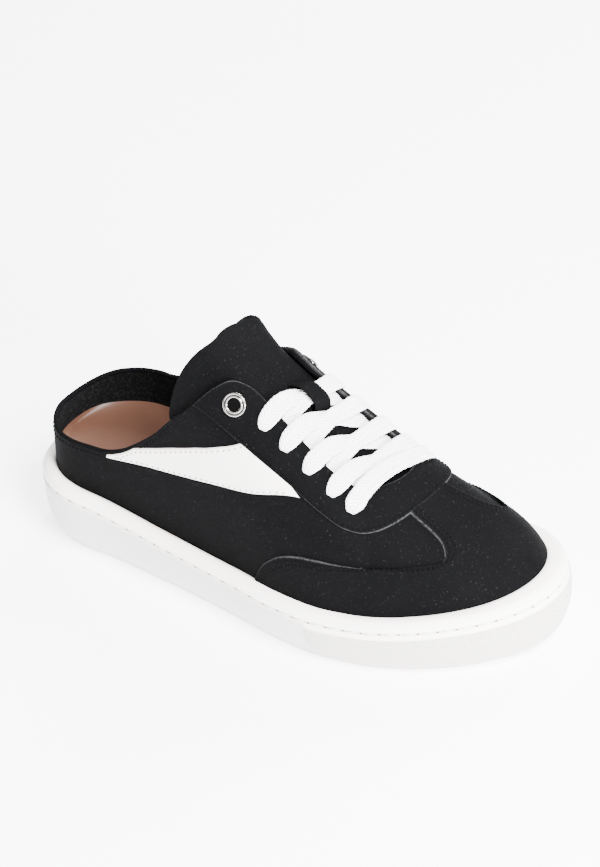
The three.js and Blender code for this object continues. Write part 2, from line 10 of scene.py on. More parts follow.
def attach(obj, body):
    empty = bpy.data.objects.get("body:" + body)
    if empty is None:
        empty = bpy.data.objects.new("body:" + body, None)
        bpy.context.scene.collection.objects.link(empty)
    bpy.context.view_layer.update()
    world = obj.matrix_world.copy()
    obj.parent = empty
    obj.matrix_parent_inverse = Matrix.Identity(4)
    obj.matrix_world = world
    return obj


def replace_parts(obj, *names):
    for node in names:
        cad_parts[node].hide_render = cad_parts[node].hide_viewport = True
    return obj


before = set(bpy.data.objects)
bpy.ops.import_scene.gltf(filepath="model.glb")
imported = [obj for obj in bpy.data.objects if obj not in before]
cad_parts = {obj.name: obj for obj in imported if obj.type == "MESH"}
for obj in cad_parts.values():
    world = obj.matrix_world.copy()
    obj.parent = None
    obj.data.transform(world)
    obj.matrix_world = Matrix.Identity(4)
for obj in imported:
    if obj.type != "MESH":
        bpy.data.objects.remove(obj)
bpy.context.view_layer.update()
MM = 0.001

# Driving sizes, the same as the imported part's
LENGTH = 268.0
BALL_WIDTH = 97.5
SOLE_WALL = 30.0
INSTEP = 115.0
RIM_WIDTH = 6.8
THROAT_SKEW = 0.016
COLLAR_TILT = 0.0145
UPPER_WALL = 2.4
GAP = 0.3
OVERLAY_TOP = 1.4
TONGUE_DEPTH = 4.2
TONGUE_LIFT = 0.4  # how far the tongue's end stands out from the last
GUARD_TOP = 1.3
BAND_TOP = 1.15
ROLL = 1.3  # how far the rolled collar edge reaches below the opening
ROLL_SWELL = 0.35
LACE_DEPTH = 1.5
KEEPER_DEPTH = 1.3
BUMPER_END = 0.402  # around, where the toe bumper ends on each side
GROOVE_ROW = 21.5  # row of the sole's wall that lies in the stitch groove
BOTTOM_INSET = 9.4  # from the sole's outline to its flat bottom
GROOVE_PITCH = 12.0
TREAD_DEPTH = 1.6
SOLE_STITCH_PITCH = 8.6

# Share of the length, half width and sideways swing of the sole as shares of the ball width
PLAN = [
    (0.00, 0.385, 0.008), (0.15, 0.385, 0.026), (0.33, 0.381, -0.022), (0.48, 0.412, -0.052),
    (0.58, 0.458, -0.052), (0.66, 0.491, -0.030), (0.735, 0.500, 0.005), (0.82, 0.500, 0.048),
    (0.89, 0.500, 0.080), (0.95, 0.500, 0.096), (1.00, 0.500, 0.100),
]
# Share of the length, then floor, rim, bed (of the sole wall), ridge height (of the instep), ridge place (of the
# length), ridge side (of the ball width), fullness, lean, inset (of the rim width)
SECTIONS = [
    (0.00, 0.90, 1.20, 1.38, 1.304, 0.280, 0.008, 2.60, 0.10, 1.00),
    (0.15, 0.87, 1.10, 1.40, 1.304, 0.300, 0.008, 2.70, 0.12, 1.00),
    (0.30, 0.77, 0.97, 1.38, 1.278, 0.360, 0.008, 3.00, 0.14, 1.00),
    (0.40, 0.68, 0.92, 1.26, 1.183, 0.430, 0.008, 3.30, 0.15, 1.00),
    (0.50, 0.60, 0.90, 1.10, 1.004, 0.510, 0.013, 3.50, 0.16, 1.00),
    (0.60, 0.53, 0.88, 0.95, 0.830, 0.600, 0.023, 3.50, 0.14, 1.00),
    (0.70, 0.50, 0.88, 0.86, 0.652, 0.700, 0.039, 3.00, 0.07, 1.00),
    (0.80, 0.50, 0.93, 0.83, 0.535, 0.790, 0.059, 2.60, 0.03, 1.03),
    (0.90, 0.57, 1.03, 0.86, 0.465, 0.860, 0.080, 2.45, 0.00, 1.10),
    (1.00, 0.67, 1.16, 0.95, 0.435, 0.885, 0.095, 2.35, 0.00, 1.18),
]


def smooth(rows, column):
    """Smooth curve through one column of a table, as a function of its first column."""
    x = np.array([row[0] for row in rows])
    y = np.array([row[column] for row in rows])
    width = np.diff(x)
    rise = np.diff(y) / width
    middle = (rise[:-1] * width[1:] + rise[1:] * width[:-1]) / (width[:-1] + width[1:])
    slope = np.concatenate([rise[:1], middle, rise[-1:]])

    def value(at):
        i = np.clip(np.searchsorted(x, at, side="right") - 1, 0, len(x) - 2)
        h = width[i]
        u = (at - x[i]) / h
        start = (2 * u**3 - 3 * u**2 + 1) * y[i] + (u**3 - 2 * u**2 + u) * h * slope[i]
        return start + (3 * u**2 - 2 * u**3) * y[i + 1] + (u**3 - u**2) * h * slope[i + 1]

    return value


plan_half, plan_swing = smooth(PLAN, 1), smooth(PLAN, 2)
floor_at, rim_at, bed_at, ridge_at, ridge_along, ridge_side, fullness, leaning, inset_at = (
    smooth(SECTIONS, column) for column in range(1, 10)
)


def share(around):
    """Share of the length at an around value: 0 at the toe, -1 and 1 at the heel, minus on the lateral side."""
    return (1 + np.cos(np.pi * around)) / 2


def rim(at):
    return SOLE_WALL * rim_at(at)


def bed(at):
    return SOLE_WALL * bed_at(at)


def underside(at):
    return 5.0 * np.maximum(0, (at - 0.7) / 0.3) ** 2


def rounding(at):
    heel = np.clip(1 - np.abs(1 - at / 0.15) ** 2.2, 0, 1) ** (1 / 2.2)
    toe = np.sqrt(np.clip(1 - ((at - 0.735) / 0.265) ** 2, 0, 1))
    return np.where(at < 0.15, heel, np.where(at > 0.735, toe, 1.0))


def plan_point(around):
    at = share(around)
    half = plan_half(at) * BALL_WIDTH * rounding(at)
    return np.stack([(at - 0.5) * LENGTH, plan_swing(at) * BALL_WIDTH + np.sign(around) * half], -1)


def outline(around, inset):
    """Outline of the sole seen from above, moved in by a distance."""
    around = np.asarray(around, float)
    along = plan_point(np.minimum(around + 1e-3, 1)) - plan_point(np.maximum(around - 1e-3, -1))
    along /= np.linalg.norm(along, axis=-1, keepdims=True)
    side = np.stack([-along[..., 1], along[..., 0]], -1)
    return plan_point(around) + side * np.asarray(inset, float)[..., None]


def ease(low, high, value):
    t = np.clip((value - low) / (high - low), 0, 1)
    return t * t * (3 - 2 * t)


def skewed(around, up):
    """The throat's lines lie further forward on the medial side, and the collar's lines higher."""
    span, across = np.abs(around), np.sign(around) * (1 - up)
    throat = ease(0.30, 0.42, span) * (1 - ease(0.52, 0.60, span))
    forward = throat * ease(-0.25, 0.35, across) * (1 - ease(0.72, 0.85, across))
    collar = ease(0.55, 0.63, span) * (1 - ease(0.84, 0.97, span))
    higher = collar * ease(0, 0.12, up) * (1 - ease(0.36, 0.48, up))
    return around - np.sign(around) * THROAT_SKEW * forward, up + np.sign(around) * COLLAR_TILT * higher


def straightened(around, up):
    """The place that skewed() brings to the one asked for."""
    moved_around, moved_up = skewed(around, up)
    return 2 * around - moved_around, 2 * up - moved_up


def last_point(around, up):
    """Point on the last's surface: up is 0 at the floor's edge and 1 on the ridge."""
    around, up = skewed(around, up)
    at = share(around)
    foot = outline(around, RIM_WIDTH * inset_at(at))
    before, after = np.maximum(0, at - 0.004), np.minimum(1, at + 0.004)
    rise = INSTEP * (ridge_at(after) - ridge_at(before)) / (LENGTH * (ridge_along(after) - ridge_along(before)))
    angle = up * np.pi / 2
    power = fullness(at)
    cos, sin = np.abs(np.cos(angle)), np.abs(np.sin(angle))
    radius = (cos**power + sin**power) ** (-1 / power)
    high = radius * sin
    out = radius * cos * (1 - leaning(at) * high)
    x = (ridge_along(at) - 0.5) * LENGTH
    y = ridge_side(at) * BALL_WIDTH
    dx, dy = (foot[..., 0] - x) * out, (foot[..., 1] - y) * out
    floor = SOLE_WALL * floor_at(at)
    height = floor + (INSTEP * ridge_at(at) - floor) * high + rise * dx * high**2
    return np.stack([x + dx, y + dy, height], -1)


def unit(vectors):
    return vectors / np.maximum(np.linalg.norm(vectors, axis=-1, keepdims=True), 1e-12)


def last_normal(around, up):
    up = np.minimum(up, 0.998)
    step = 2e-3
    across = last_point(np.minimum(around + step, 1), up) - last_point(np.maximum(around - step, -1), up)
    rise = last_point(around, np.minimum(up + step, 1)) - last_point(around, np.maximum(up - step, 0))
    return unit(np.cross(across, rise))


def blended_normal(around, up):
    """Normal of the last, evened out over the ridge, where both sides meet."""
    own, other = last_normal(around, up), last_normal(-around, up)
    part = 0.5 * np.clip((up - 0.94) / 0.06, 0, 1)[..., None]
    return unit(own * (1 - part) + other * part)


def last(around, up, off):
    around, up, off = np.broadcast_arrays(*(np.asarray(a, float) for a in (around, up, off)))
    return last_point(around, up) + blended_normal(around, up) * off[..., None]


def up_at_height(around, height):
    """How far up the last a height lies, by halving."""
    low, high = np.zeros_like(around), np.full_like(around, 0.7)
    for _ in range(14):
        middle = (low + high) / 2
        below = last_point(around, middle)[..., 2] < height
        low, high = np.where(below, middle, low), np.where(below, high, middle)
    return (low + high) / 2


def over(around, side, off):
    """Point over the back of the last. side is signed: minus lateral, 0 on the ridge, 1 down at the floor's edge."""
    around, side, off = np.broadcast_arrays(*(np.asarray(a, float) for a in (around, side, off)))
    return last(np.where(side < 0, -around, around), 1 - np.abs(side), off)


def over_normal(around, side):
    return blended_normal(np.where(side < 0, -around, around), 1 - np.abs(side))


# Edges on the last as (around, up)
OPENING = [
    (0.350, 1.000), (0.351, 0.940), (0.354, 0.870), (0.360, 0.800), (0.369, 0.745), (0.382, 0.710), (0.400, 0.694),
    (0.430, 0.688), (0.460, 0.690), (0.482, 0.688), (0.500, 0.675), (0.518, 0.620), (0.532, 0.545), (0.548, 0.472),
    (0.568, 0.404), (0.600, 0.338), (0.633, 0.272), (0.660, 0.232), (0.685, 0.202), (0.712, 0.182), (0.755, 0.172),
    (0.850, 0.170), (1.000, 0.165),
]
FACING = [
    (0.304, 1.000), (0.3045, 0.930), (0.307, 0.850), (0.311, 0.765), (0.318, 0.680), (0.330, 0.597), (0.346, 0.538),
    (0.364, 0.508), (0.390, 0.496), (0.432, 0.482), (0.500, 0.450), (0.562, 0.418),
]
WINDOW = [
    (0.492, 0.000), (0.484, 0.060), (0.471, 0.133), (0.454, 0.188), (0.434, 0.237), (0.396, 0.303), (0.360, 0.352),
    (0.329, 0.395), (0.295, 0.435), (0.267, 0.468), (0.250, 0.500), (0.240, 0.540), (0.236, 0.590), (0.240, 0.650),
    (0.252, 0.708), (0.270, 0.748), (0.306, 0.790), (0.325, 0.815),
]
BAND_LOW = [
    (0.419, 0.478), (0.476, 0.352), (0.530, 0.270), (0.584, 0.216), (0.642, 0.181), (0.704, 0.156), (0.768, 0.138),
]
BAND_HIGH = [
    (0.480, 0.520), (0.504, 0.433), (0.534, 0.360), (0.566, 0.307), (0.597, 0.269), (0.630, 0.235), (0.664, 0.208),
    (0.700, 0.183), (0.730, 0.172), (0.768, 0.167),
]
BAND_END = {-1: 0.708, 1: 0.768}  # around, rear end on each side: the lateral collar cuts it sooner
TONGUE = [  # around on the ridge, bend back at the sides, up at the sides
    (0.318, 0.000, 0.700), (0.350, 0.000, 0.600), (0.400, 0.000, 0.560), (0.450, 0.006, 0.500), (0.490, 0.020, 0.430),
    (0.520, 0.041, 0.360), (0.538, 0.057, 0.328), (0.546, 0.063, 0.322), (0.5490, 0.064, 0.330), (0.5500, 0.063, 0.346),
]
LACE_HOLES = [(0.366, 0.590), (0.391, 0.588), (0.420, 0.580), (0.448, 0.574), (0.475, 0.568)]
EYELET = (0.510, 0.545)


def curve(points, count):
    """Rounded curve through (around, up) points, evenly spaced in millimetres on the last."""
    points = np.array(points, float)
    place = last(points[:, 0], points[:, 1], 0.0)
    length = np.concatenate([[0], np.cumsum(np.linalg.norm(np.diff(place, axis=0), axis=1))])
    fine = np.linspace(0, length[-1], 60 * len(points))
    rows = [(a, *b) for a, b in zip(length, points)]
    smoothed = np.stack([smooth(rows, 1)(fine), smooth(rows, 2)(fine)], -1)
    smoothed[:, 1] = np.clip(smoothed[:, 1], 0, 1)
    place = last(smoothed[:, 0], smoothed[:, 1], 0.0)
    run = np.concatenate([[0], np.cumsum(np.linalg.norm(np.diff(place, axis=0), axis=1))])
    even = np.linspace(0, run[-1], count)
    return np.stack([np.interp(even, run, smoothed[:, column]) for column in (0, 1)], -1)


opening_curve = curve(OPENING, 400)


def opening(around):
    """up at the edge of the opening, 1 where the upper is closed over the toes."""
    return np.interp(np.abs(around), opening_curve[:, 0], opening_curve[:, 1], left=1.0)


# Meshes
def make(name, mesh, material):
    obj = bpy.data.objects.new(name, mesh)
    bpy.context.scene.collection.objects.link(obj)
    mesh.materials.append(material)
    mesh.polygons.foreach_set("use_smooth", [True] * len(mesh.polygons))
    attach(obj, "root")
    return obj


def grid(columns, rows, place, weld=True, **layers):
    """Mesh of a grid. place(u, v) gives millimetres for arrays from 0 to 1; layers are attributes, made the same way."""
    bm = bmesh.new()
    bmesh.ops.create_grid(bm, x_segments=columns, y_segments=rows, size=0.5, calc_uvs=True)
    mesh = bpy.data.meshes.new("grid")
    bm.to_mesh(mesh)
    bm.free()
    flat = np.empty(len(mesh.vertices) * 3)
    mesh.vertices.foreach_get("co", flat)
    u, v = flat[0::3] + 0.5, flat[1::3] + 0.5
    mesh.vertices.foreach_set("co", (place(u, v) * MM).ravel())
    for key, layer in layers.items():
        mesh.attributes.new(key, "FLOAT", "POINT").data.foreach_set("value", layer(u, v))
    if weld:
        bm = bmesh.new()
        bm.from_mesh(mesh)
        bmesh.ops.remove_doubles(bm, verts=bm.verts, dist=2e-5)
        bmesh.ops.recalc_face_normals(bm, faces=bm.faces)
        bm.to_mesh(mesh)
        bm.free()
    return mesh


def join(meshes):
    """One mesh out of several, shared edges welded."""
    bm = bmesh.new()
    for mesh in meshes:
        bm.from_mesh(mesh)
    bmesh.ops.remove_doubles(bm, verts=bm.verts, dist=2e-5)
    mesh = bpy.data.meshes.new("joined")
    bm.to_mesh(mesh)
    bm.free()
    return mesh


def overlay(name, low, high, material, top=OVERLAY_TOP, foot=-0.3, step=2.0, round_low=True):
    """Layer on the last between two curves of (around, side), its cut edges rounded. Also gives the edge follower."""
    columns = len(low)
    steps = np.linspace(0, 1, 25)
    lines = over(*np.moveaxis(low[:, None] + (high - low)[:, None] * steps[:, None], -1, 0), top)
    width = np.maximum(np.linalg.norm(np.diff(lines, axis=1), axis=-1).sum(1), 1e-3)
    near = np.minimum(np.array([0, 0.1, 0.3, 0.6, 1.0])[None], width[:, None] / 2.2)
    middle = max(2, int(np.max(width) / step))
    inner = near[:, -1:] + (width[:, None] - 2 * near[:, -1:]) * np.linspace(0, 1, middle + 1)[None, 1:-1]
    rows = np.concatenate([near, inner, width[:, None] - near[:, ::-1]], 1)

    def place(u, v):
        i = np.rint(u * (columns - 1)).astype(int)
        j = np.rint(v * (rows.shape[1] - 1)).astype(int)
        d = rows[i, j]
        edge = np.minimum(d if round_low else np.inf, width[i] - d)
        roundness = np.sqrt(1 - (1 - np.clip(edge / 0.9, 0, 1)) ** 2)
        spot = low[i] + (high[i] - low[i]) * (d / width[i])[:, None]
        return over(spot[:, 0], spot[:, 1], foot + (top - foot) * roundness)

    # Mask of the paler band on the rounded cut edge, partly the raw edge's tone and partly painted highlight.
    def edge(u, v):
        i = np.rint(u * (columns - 1)).astype(int)
        d = rows[i, np.rint(v * (rows.shape[1] - 1)).astype(int)]
        near_edge = np.minimum(d if round_low else np.inf, width[i] - d)
        return np.clip(1 - np.abs(near_edge - 0.3) / 0.35, 0, 1)

    obj = make(name, grid(columns - 1, rows.shape[1] - 1, place, edge=edge), material)

    def follow(distance, from_high=False):
        part = np.clip(distance / width, 0, 0.5)[:, None]
        spot = high + (low - high) * part if from_high else low + (high - low) * part
        return spot

    return obj, follow


def both_sides(points):
    """Curve of (around, up) from one side over the ridge to the other, as (around, side)."""
    half = np.stack([points[:, 0], 1 - points[:, 1]], -1)
    return np.concatenate([half[::-1] * [1, -1], half[1:]])


def stitches(name, spots, off, material, pitch, long, thick):
    """Row of thread stitches along a curve of (around, side)."""
    line, normal = over(spots[:, 0], spots[:, 1], off), over_normal(spots[:, 0], spots[:, 1])
    return thread(name, line, normal, material, pitch, long, thick)


def thread(name, line, normal, material, pitch, long, thick, lift=0.0, start=None):
    """Row of short round threads along a line, one mesh. lift raises them along the normal."""
    run = np.concatenate([[0], np.cumsum(np.linalg.norm(np.diff(line, axis=0), axis=1))])
    places = np.arange(pitch / 2 if start is None else start, run[-1] - long / 2, pitch)
    bm = bmesh.new()
    for d in places:
        ends = [np.array([np.interp(d + s * long / 2, run, line[:, k]) for k in range(3)]) for s in (-1, 1)]
        out = np.array([np.interp(d, run, normal[:, k]) for k in range(3)])
        along = Vector(ends[1] - ends[0]).normalized()
        up = Vector(out).normalized()
        side = up.cross(along).normalized()
        up = along.cross(side)
        middle = Vector((ends[0] + ends[1]) / 2) + up * lift
        turn = Matrix((along, side, up)).transposed().to_4x4()
        form = Matrix.Diagonal((long / 2 * MM, thick / 2 * MM, thick / 2 * MM, 1))
        bmesh.ops.create_uvsphere(bm, u_segments=6, v_segments=5, radius=1,
                                  matrix=Matrix.Translation(middle * MM) @ turn @ form)
    mesh = bpy.data.meshes.new(name)
    bm.to_mesh(mesh)
    bm.free()
    return make(name, mesh, material)


# Shader maths
class Maths:
    """Adds shader nodes through ordinary arithmetic."""

    def __init__(self, paint, socket):
        self.paint, self.socket = paint, socket

    def math(self, operation, *others):
        node = self.paint.tree.nodes.new("ShaderNodeMath")
        node.operation = operation
        self.paint.feed(node.inputs[0], self)
        for i, other in enumerate(others):
            self.paint.feed(node.inputs[i + 1], other)
        return Maths(self.paint, node.outputs[0])

    def __add__(self, other):
        return self.math("ADD", other)

    def __sub__(self, other):
        return self.math("SUBTRACT", other)

    def __mul__(self, other):
        return self.math("MULTIPLY", other)

    def between(self, low, high):
        """0 below low, 1 above high, smooth between."""
        node = self.paint.tree.nodes.new("ShaderNodeMapRange")
        node.interpolation_type = "SMOOTHSTEP"
        self.paint.feed(node.inputs["Value"], self)
        node.inputs["From Min"].default_value = low
        node.inputs["From Max"].default_value = high
        return Maths(self.paint, node.outputs["Result"])


class Paint:
    """A material with one principled shader."""

    def __init__(self, name, colour, roughness, **settings):
        self.material = bpy.data.materials.new(name)
        self.material.use_nodes = True
        self.tree = self.material.node_tree
        self.shader = self.tree.nodes["Principled BSDF"]
        self.set(Base_Color=(*colour, 1), Roughness=roughness, **settings)

    def feed(self, target, source):
        if isinstance(source, Maths):
            self.tree.links.new(source.socket, target)
        else:
            target.default_value = source

    def set(self, **inputs):
        for key, source in inputs.items():
            self.feed(self.shader.inputs[key.replace("_", " ")], source)

    def add(self, kind, output, **inputs):
        node = self.tree.nodes.new("ShaderNode" + kind)
        for key, source in inputs.items():
            key = key.replace("_", " ")
            if key in node.inputs:
                self.feed(node.inputs[key], source)
            else:
                setattr(node, key.replace(" ", "_"), source)
        return Maths(self, node.outputs[output])

    def where(self):
        return self.add("TexCoord", "Object")

    def layer(self, name):
        return self.add("Attribute", "Fac", attribute_name=name)

    def noise(self, scale, detail=2.0, roughness=0.5):
        return self.add("TexNoise", "Fac", Vector=self.where(), Scale=scale, Detail=detail, Roughness=roughness)

    def mix(self, part, first, second):
        node = self.tree.nodes.new("ShaderNodeMix")
        node.data_type = "RGBA"
        self.feed(node.inputs["Factor"], part)
        for key, colour in (("A", first), ("B", second)):
            socket = next(s for s in node.inputs if s.name == key and s.type == "RGBA")
            self.feed(socket, colour if isinstance(colour, Maths) else (*colour, 1))
        return Maths(self, next(s for s in node.outputs if s.type == "RGBA"))

    def bump(self, height, distance, strength=1.0):
        """Relief: height is 0 to 1, distance in millimetres."""
        normal = self.add("Bump", "Normal", Height=height, Distance=distance * MM, Strength=strength)
        self.set(Normal=normal)


def nubuck_paint():
    """Black nubuck: short nap with pale specks, and a paler band on its rounded cut edges that is partly the raw edge's
    own tone and partly a painted highlight.
    """
    paint = Paint("nubuck", (0.005, 0.005, 0.0055), 0.8, Specular_IOR_Level=0.022)
    coarse, fine = paint.noise(950, 4, 0.75), paint.noise(2600, 3, 0.7)
    broad = paint.noise(60, 3, 0.6)
    speck = coarse.between(0.60, 0.74) * fine.between(0.35, 0.65)
    base = paint.mix(broad.between(0.3, 0.7), (0.0014, 0.0014, 0.0016), (0.0019, 0.0019, 0.0021))
    worn = paint.mix(speck, base, (0.035, 0.035, 0.037))
    # Paler band on the rounded cut edges: partly the raw edge's own tone, partly painted highlight.
    edge = paint.layer("edge") * coarse.between(0.3, 0.6)
    paint.set(Base_Color=paint.mix(edge, worn, (0.045, 0.045, 0.047)), Roughness=broad * 0.15 + 0.72)
    paint.bump(coarse * 0.7 + fine * 0.4, 0.35, 0.8)
    return paint.material


def lining_paint():
    """Black brushed textile."""
    paint = Paint("lining", (0.004, 0.004, 0.0045), 0.8, Specular_IOR_Level=0.06)
    nap = paint.noise(800, 4, 0.75)
    paint.set(Base_Color=paint.mix(nap.between(0.45, 0.75), (0.002, 0.002, 0.0022), (0.012, 0.012, 0.013)))
    paint.bump(nap, 0.5, 0.8)
    return paint.material


def footbed_paint():
    """Tan footbed leather, its tone varying at random in broad patches."""
    paint = Paint("footbed", (0.08, 0.036, 0.023), 0.4, Specular_IOR_Level=0.2)
    broad = paint.noise(18, 3, 0.5)
    paint.set(Base_Color=paint.mix(broad.between(0.3, 0.7), (0.066, 0.0305, 0.0195), (0.079, 0.037, 0.0242)))
    paint.bump(paint.noise(1500, 3, 0.6), 0.05, 0.4)
    return paint.material


def rubber_paint():
    """Off-white rubber; diamonds on the toe bumper, fine ribs at the bottom. Painted shade: the side walls greyer, less
    so round the toe bumper, and darker knurl valleys, stitch groove and rib stripes.
    """
    paint = Paint("sole_rubber", (0.86, 0.82, 0.78), 0.5, Specular_IOR_Level=0.35, Subsurface_Weight=0.1,
                  Subsurface_Radius=(0.004, 0.003, 0.002), Subsurface_Scale=0.4)
    run, height, mask = paint.layer("run"), paint.layer("rise"), paint.layer("knurl")
    groove, ribs = paint.layer("groove"), paint.layer("ribs")
    first = ((run + height * 1.3) * 1.75).math("SINE")
    second = ((run - height * 1.3) * 1.75).math("SINE")
    diamond = (first * second).math("ABSOLUTE")
    valley = (diamond * -1.0 + 1.0) * mask
    rib = ((run * 3.4).math("SINE") * 0.5 + 0.5) * ribs
    # Painted shade: darker in the knurl's valleys, in the stitch groove and along the fine ribs.
    painted_recess_shade = (valley.between(0.3, 1.0) * 0.6 + groove * 0.6 + rib * 0.5).between(0.0, 1.0)
    # Painted shade: the side wall below the stitch groove is greyer than the rim and the toe bumper, which get more
    # light.
    plain = paint.mix(paint.layer("side"), (0.90, 0.85, 0.81), (0.60, 0.565, 0.55))
    paint.set(Base_Color=paint.mix(painted_recess_shade, plain, (0.50, 0.46, 0.43)))
    paint.bump(diamond * mask * 0.8 + rib * 0.8 + paint.noise(900, 2) * 0.06, 0.9, 1.0)
    return paint.material


def band_paint():
    """White leather with a fine grain."""
    paint = Paint("band_leather", (0.88, 0.835, 0.79), 0.42, Specular_IOR_Level=0.45)
    paint.bump(paint.noise(1100, 4, 0.6), 0.08, 0.4)
    return paint.material


def lace_paint():
    """White cotton: a flat plait, each strand a slanted bump, with painted shade in the gaps between strands."""
    paint = Paint("lace_cotton", (0.86, 0.86, 0.855), 0.9, Sheen_Weight=0.3)
    run, across = paint.layer("run"), paint.layer("across")
    slant = (across.math("ABSOLUTE") * 0.9 + run) * 3.6
    strand = (slant.math("SINE") * 0.5 + 0.5) * ((across * 3.1).math("SINE") * 0.25 + 0.75)
    # Painted shade: darker in the gaps between the strands.
    strand_gap_shade = (strand * -1.0 + 1.0).between(0.55, 1.0)
    paint.set(Base_Color=paint.mix(strand_gap_shade * 0.55, (0.87, 0.87, 0.865), (0.55, 0.55, 0.56)))
    paint.bump(strand + paint.noise(1800, 3, 0.7) * 0.5, 0.5, 0.9)
    return paint.material


def metal_paint():
    paint = Paint("ring_metal", (0.38, 0.365, 0.35), 0.13, Metallic=1.0)
    return paint.material


def thread_paint(name, colour, gloss=0.25):
    return Paint(name, colour, 0.6, Specular_IOR_Level=gloss).material


nubuck, lining, footbed_leather, rubber = nubuck_paint(), lining_paint(), footbed_paint(), rubber_paint()
band_leather, cotton, nickel = band_paint(), lace_paint(), metal_paint()
black_thread = thread_paint("black_thread", (0.0006, 0.0006, 0.0007), 0.03)
white_thread = thread_paint("white_thread", (0.80, 0.77, 0.73))
hole_shade = thread_paint("hole_shade", (0.16, 0.145, 0.135), 0.0)
ring_shade = thread_paint("ring_shade", (0.0006, 0.0006, 0.0006), 0.03)

# Sole: side wall with a stitch groove and a knurled toe bumper, rim, and grooved underside
# Each row: height above the underside, or below the rim where minus, then inset, inset at the bumper, knurl
WALL = [
    (0.0, 9.5, 9.5, 0), (0.0, 6.0, 6.0, 0), (0.25, 5.2, 5.2, 0), (0.7, 4.6, 4.6, 0), (1.2, 4.2, 4.3, 0),
    (1.5, 4.1, 3.7, 0), (1.9, 3.9, 3.0, 1), (3.0, 3.3, 2.5, 1), (5.0, 2.5, 1.7, 1), (7.5, 1.6, 0.8, 1),
    (10.0, 0.9, 0.1, 1), (12.5, 0.45, -0.35, 1),
    (15.0, 0.15, -0.6, 1), (-9.4, 0.05, -0.65, 1), (-8.5, 0.05, -0.6, 1), (-8.1, 0.05, -0.35, 1), (-7.8, 0.06, 0.0, 0),
    (-7.5, 0.08, 0.1, 0), (-6.6, 0.12, 0.15, 0), (-6.2, 0.3, 0.3, 0), (-5.9, 0.8, 0.8, 0), (-5.5, 1.1, 1.1, 0),
    (-5.1, 1.1, 1.1, 0), (-4.7, 0.8, 0.8, 0), (-4.4, 0.45, 0.45, 0), (-3.9, 0.35, 0.35, 0), (-3.0, 0.5, 0.5, 0),
    (-2.0, 0.95, 0.95, 0), (-1.2, 1.5, 1.5, 0), (-0.6, 2.15, 2.15, 0), (-0.2, 2.9, 2.9, 0), (0.0, 3.8, 3.8, 0),
]


def bumper_share(around):
    """1 round the toe, 0 behind it, with a short slope at the bumper's ends."""
    return np.clip((BUMPER_END - np.abs(around)) / 0.004, 0, 1)


def wall_point(around, row, shift=0.0):
    height, inset, toe_inset, _ = (np.interp(row, range(len(WALL)), [w[k] for w in WALL]) for k in range(4))
    at = share(around)
    low = np.rint(row) <= 12
    z = np.where(low, underside(at) + height, rim(at) + np.where(row >= len(WALL) - 1, 0, height))
    part = bumper_share(around)
    spot = outline(around, inset * (1 - part) + toe_inset * part + shift)
    return np.concatenate([spot, z[:, None]], -1)


def sole_wall():
    columns, rows = 460, len(WALL) - 1
    points = plan_point(np.linspace(-1, 1, 2000))
    run = np.concatenate([[0], np.cumsum(np.linalg.norm(np.diff(points, axis=0), axis=1))])
    around_even = np.interp(np.linspace(0, run[-1], columns + 1), run, np.linspace(-1, 1, 2000))

    def around_of(u):
        return around_even[np.rint(u * columns).astype(int)]

    def place(u, v):
        return wall_point(around_of(u), v * rows)

    def knurl(u, v):
        row = np.rint(v * rows).astype(int)
        return np.array([w[3] for w in WALL])[row] * bumper_share(around_of(u))

    def rise(u, v):
        return place(u, v)[:, 2]

    # Painted shade of the stitch groove, strongest at its middle row.
    def groove(u, v):
        row = np.rint(v * rows)
        return np.exp(-(((row - GROOVE_ROW) / 1.6) ** 2))

    def ribs(u, v):
        row = np.rint(v * rows)
        return np.where((row >= 3) & (row <= 6), 1.0, 0.0)

    # Where the side wall's painted shade lies: below the stitch groove, much weaker round the toe bumper.
    def side(u, v):
        row = np.rint(v * rows)
        return np.clip((20 - row) / 2, 0, 1) * (1 - 0.9 * bumper_share(around_of(u)))

    mesh = grid(columns, rows, place, weld=False, run=lambda u, v: u * run[-1], rise=rise, knurl=knurl,
                groove=groove, ribs=ribs, side=side)
    return mesh, around_even


def sole_cup(around_even):
    """From the rim down between the rim and the upper."""
    columns = len(around_even) - 1

    def place(u, v):
        around = around_even[np.rint(u * columns).astype(int)]
        at = share(around)
        inner = last(around, up_at_height(around, rim(at)), 0.1)
        top = np.concatenate([outline(around, 3.8), rim(at)[:, None]], -1)
        row = np.rint(v * 4).astype(int)
        mixed = top + (inner - top) * np.clip(row / 2, 0, 1)[:, None]
        mixed[:, 2] -= np.array([0.0, 0.05, 0.5, 2.0, 7.0])[row]
        return mixed

    return grid(columns, 4, place, weld=False)


def sole_underside():
    """Flat bottom with grooves across the forefoot and the heel, set in from a plain border."""

    def place(u, v):
        at = np.clip(0.036 + u * 0.93, 0, 1)
        around = np.arccos(2 * at - 1) / np.pi
        left, right = outline(-around, BOTTOM_INSET), outline(around, BOTTOM_INSET)
        spot = left + (right - left) * v[:, None]
        turns = (spot[:, 0] + 1.2) / GROOVE_PITCH
        phase = np.abs(turns - np.rint(turns)) * GROOVE_PITCH
        inside = (v > 0.04) & (v < 0.96) & ((spot[:, 0] < -42) | (spot[:, 0] > 2)) & (u > 0.02) & (u < 0.98)
        groove = np.where(inside, TREAD_DEPTH * np.clip((1.6 - phase) / 0.5, 0, 1), 0)
        return np.stack([spot[:, 0], spot[:, 1], underside(at) + groove + 0.02], -1)

    return grid(560, 40, place, weld=False)


wall_mesh, sole_around = sole_wall()
sole = make("sole_form", join([wall_mesh, sole_cup(sole_around), sole_underside()]), rubber)
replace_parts(sole, "sole")

# Upper: outside, rolled collar edge and lining, one skin all round, closed over the toes and open behind the instep
AROUND = np.concatenate([np.linspace(0, 0.30, 70)[:-1], np.linspace(0.30, 0.57, 110)[:-1], np.linspace(0.57, 1, 90)])
AROUND = np.concatenate([-AROUND[::-1], AROUND[1:]])


